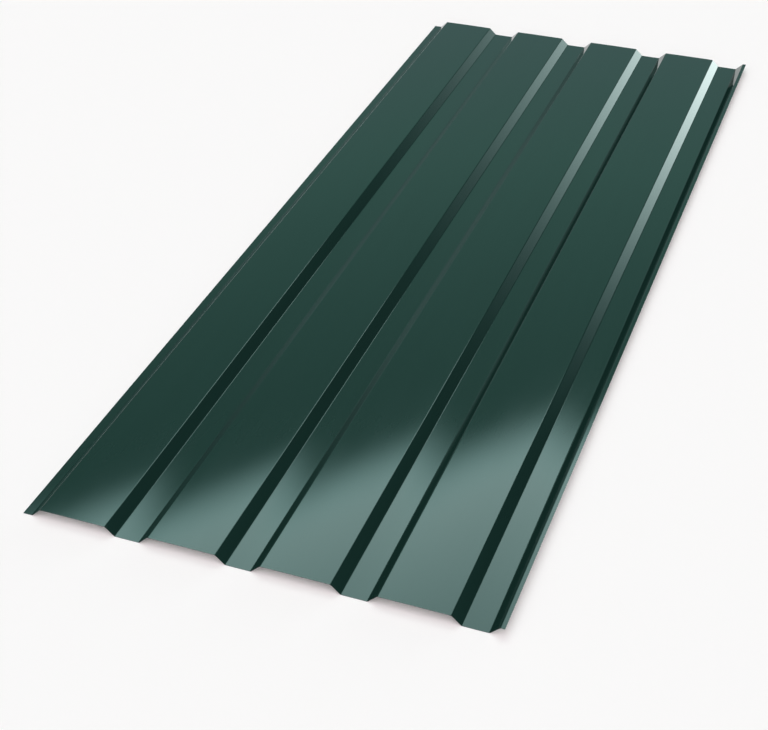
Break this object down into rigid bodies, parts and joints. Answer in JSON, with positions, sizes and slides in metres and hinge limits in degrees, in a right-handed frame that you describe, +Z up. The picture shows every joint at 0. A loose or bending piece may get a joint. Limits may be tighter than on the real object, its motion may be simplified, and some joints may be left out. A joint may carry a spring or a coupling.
{
  "type": "corrugated metal sheet",
  "caption": "Coated steel roofing and wall sheet with a shallow trapezoidal corrugation and side-lap edges.",
  "frame": {"origin": "under the middle of the sheet, on the plane that the valleys rest on", "axes": "+X across the ribs towards the high lip, +Y along the ribs, +Z up with the crowns on top"},
  "size_m": [0.45, 1.15, 0.009],
  "materials": {
    "coated_steel": "gloss dark green coating"
  },
  "bodies": {
    "root": {"corrugated_sheet": "coated_steel"}
  },
  "joints": []
}
